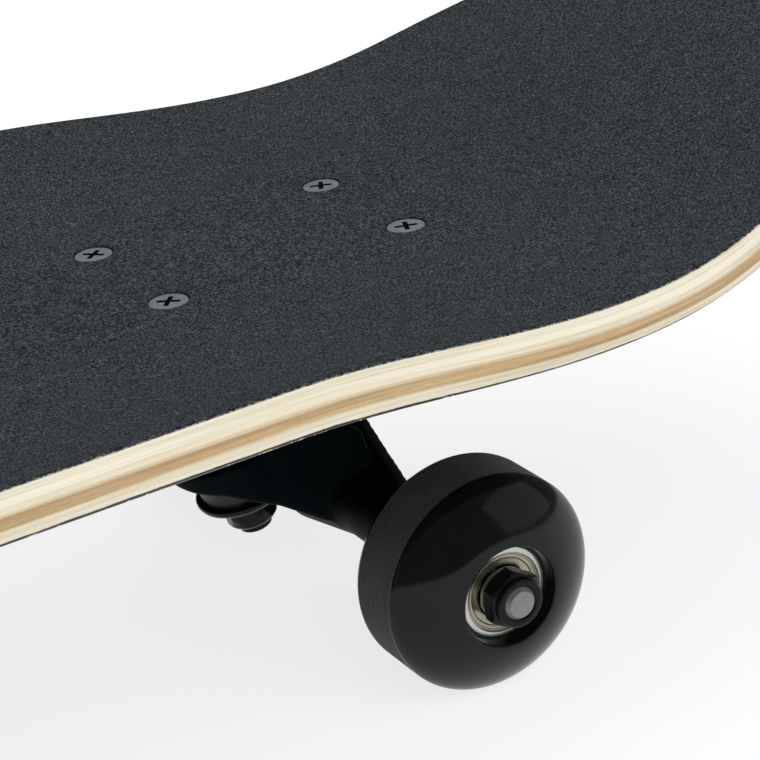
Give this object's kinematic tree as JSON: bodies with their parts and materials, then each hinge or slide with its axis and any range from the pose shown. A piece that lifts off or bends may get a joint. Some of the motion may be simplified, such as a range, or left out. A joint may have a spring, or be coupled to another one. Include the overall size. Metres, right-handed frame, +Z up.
{
  "type": "skateboard",
  "caption": "Kicktail street skateboard: laminated maple deck with grip sheet, kingpin trucks that steer on bushings, and urethane wheels on ball bearings.",
  "frame": {"origin": "on the floor, under the middle of the deck", "axes": "+X along the deck towards its front end, +Y to the left, +Z up"},
  "size_m": [0.8092, 0.2156, 0.1368],
  "materials": {
    "grip": "coarse mineral grit, charcoal",
    "maple": "pale rotary-cut maple, satin",
    "maple_dark": "tan heartwood maple, satin",
    "deck_lacquer": "black lacquer, gloss",
    "bolt_steel": "blue-grey oxide, satin",
    "zinc_steel": "zinc plated, satin",
    "black_steel": "black oxide, satin",
    "cast_black": "black coated casting, satin",
    "cup_nylon": "black nylon, matt",
    "bushing_urethane": "black urethane, satin",
    "wheel_urethane": "black urethane, gloss sides, turned tread",
    "bearing_steel": "ground bearing steel",
    "shield_steel": "yellow-passivated pressed steel"
  },
  "bodies": {
    "board": {"grip_tape": "grip", "deck_ply_1": "maple", "deck_ply_2": "maple", "deck_ply_3": "maple", "deck_ply_4": "maple_dark", "deck_ply_5": "maple_dark", "deck_ply_6": "maple", "deck_ply_7": "maple", "deck_bottom_film": "deck_lacquer", "front_truck_bolts": "bolt_steel", "front_truck_nuts": "zinc_steel", "rear_truck_bolts": "bolt_steel", "rear_truck_nuts": "zinc_steel", "front_baseplate": "cast_black", "front_pivot_cup": "cup_nylon", "front_kingpin": "zinc_steel", "front_kingpin_nut": "black_steel", "front_bushing_boardside": "bushing_urethane", "front_bushing_roadside": "bushing_urethane", "front_bushing_washers": "black_steel", "rear_baseplate": "cast_black", "rear_pivot_cup": "cup_nylon", "rear_kingpin": "zinc_steel", "rear_kingpin_nut": "black_steel", "rear_bushing_boardside": "bushing_urethane", "rear_bushing_roadside": "bushing_urethane", "rear_bushing_washers": "black_steel"},
    "front_truck": {"front_hanger": "cast_black", "front_axle": "zinc_steel", "front_axle_nuts": "black_steel", "front_speed_washers": "zinc_steel", "front_bearing_inner_rings": "bearing_steel", "front_bearing_spacers": "zinc_steel"},
    "rear_truck": {"rear_hanger": "cast_black", "rear_axle": "zinc_steel", "rear_axle_nuts": "black_steel", "rear_speed_washers": "zinc_steel", "rear_bearing_inner_rings": "bearing_steel", "rear_bearing_spacers": "zinc_steel"},
    "front_left_wheel_set": {"front_left_wheel": "wheel_urethane", "front_left_bearing_outer_rings": "bearing_steel", "front_left_bearing_shields": "shield_steel"},
    "front_left_ball_set": {"front_left_bearing_balls": "bearing_steel", "front_left_bearing_cages": "bearing_steel"},
    "front_right_wheel_set": {"front_right_wheel": "wheel_urethane", "front_right_bearing_outer_rings": "bearing_steel", "front_right_bearing_shields": "shield_steel"},
    "front_right_ball_set": {"front_right_bearing_balls": "bearing_steel", "front_right_bearing_cages": "bearing_steel"},
    "rear_left_wheel_set": {"rear_left_wheel": "wheel_urethane", "rear_left_bearing_outer_rings": "bearing_steel", "rear_left_bearing_shields": "shield_steel"},
    "rear_left_ball_set": {"rear_left_bearing_balls": "bearing_steel", "rear_left_bearing_cages": "bearing_steel"},
    "rear_right_wheel_set": {"rear_right_wheel": "wheel_urethane", "rear_right_bearing_outer_rings": "bearing_steel", "rear_right_bearing_shields": "shield_steel"},
    "rear_right_ball_set": {"rear_right_bearing_balls": "bearing_steel", "rear_right_bearing_cages": "bearing_steel"}
  },
  "joints": [
    {"name": "front_steer", "type": "hinge", "parent": "board", "child": "front_truck", "pos_m": [0.248, 0, 0.0665], "axis": [0.9032, 0, 0.4292], "range_deg": [-9, 9], "stiffness_Nm_per_rad": 45, "deforming": ["front_bushing_boardside", "front_bushing_roadside"]},
    {"name": "rear_steer", "type": "hinge", "parent": "board", "child": "rear_truck", "pos_m": [-0.248, 0, 0.0665], "axis": [-0.9032, 0, 0.4292], "range_deg": [-9, 9], "stiffness_Nm_per_rad": 45, "deforming": ["rear_bushing_boardside", "rear_bushing_roadside"]},
    {"name": "front_left_wheel_spin", "type": "hinge", "parent": "front_truck", "child": "front_left_wheel_set", "pos_m": [0.222, 0.0685, 0.0265], "axis": [0, 1, 0], "continuous": true},
    {"name": "front_right_wheel_spin", "type": "hinge", "parent": "front_truck", "child": "front_right_wheel_set", "pos_m": [0.222, -0.0685, 0.0265], "axis": [0, 1, 0], "continuous": true},
    {"name": "rear_left_wheel_spin", "type": "hinge", "parent": "rear_truck", "child": "rear_left_wheel_set", "pos_m": [-0.222, 0.0685, 0.0265], "axis": [0, 1, 0], "continuous": true},
    {"name": "rear_right_wheel_spin", "type": "hinge", "parent": "rear_truck", "child": "rear_right_wheel_set", "pos_m": [-0.222, -0.0685, 0.0265], "axis": [0, 1, 0], "continuous": true},
    {"name": "front_left_ball_orbit", "type": "hinge", "parent": "front_truck", "child": "front_left_ball_set", "pos_m": [0.222, 0.0685, 0.0265], "axis": [0, 1, 0], "continuous": true},
    {"name": "front_right_ball_orbit", "type": "hinge", "parent": "front_truck", "child": "front_right_ball_set", "pos_m": [0.222, -0.0685, 0.0265], "axis": [0, 1, 0], "continuous": true},
    {"name": "rear_left_ball_orbit", "type": "hinge", "parent": "rear_truck", "child": "rear_left_ball_set", "pos_m": [-0.222, 0.0685, 0.0265], "axis": [0, 1, 0], "continuous": true},
    {"name": "rear_right_ball_orbit", "type": "hinge", "parent": "rear_truck", "child": "rear_right_ball_set", "pos_m": [-0.222, -0.0685, 0.0265], "axis": [0, 1, 0], "continuous": true}
  ],
  "couplings": [
    {"joint": "front_left_ball_orbit", "follows": "front_left_wheel_spin", "ratio": 0.61667},
    {"joint": "front_right_ball_orbit", "follows": "front_right_wheel_spin", "ratio": 0.61667},
    {"joint": "rear_left_ball_orbit", "follows": "rear_left_wheel_spin", "ratio": 0.61667},
    {"joint": "rear_right_ball_orbit", "follows": "rear_right_wheel_spin", "ratio": 0.61667}
  ]
}
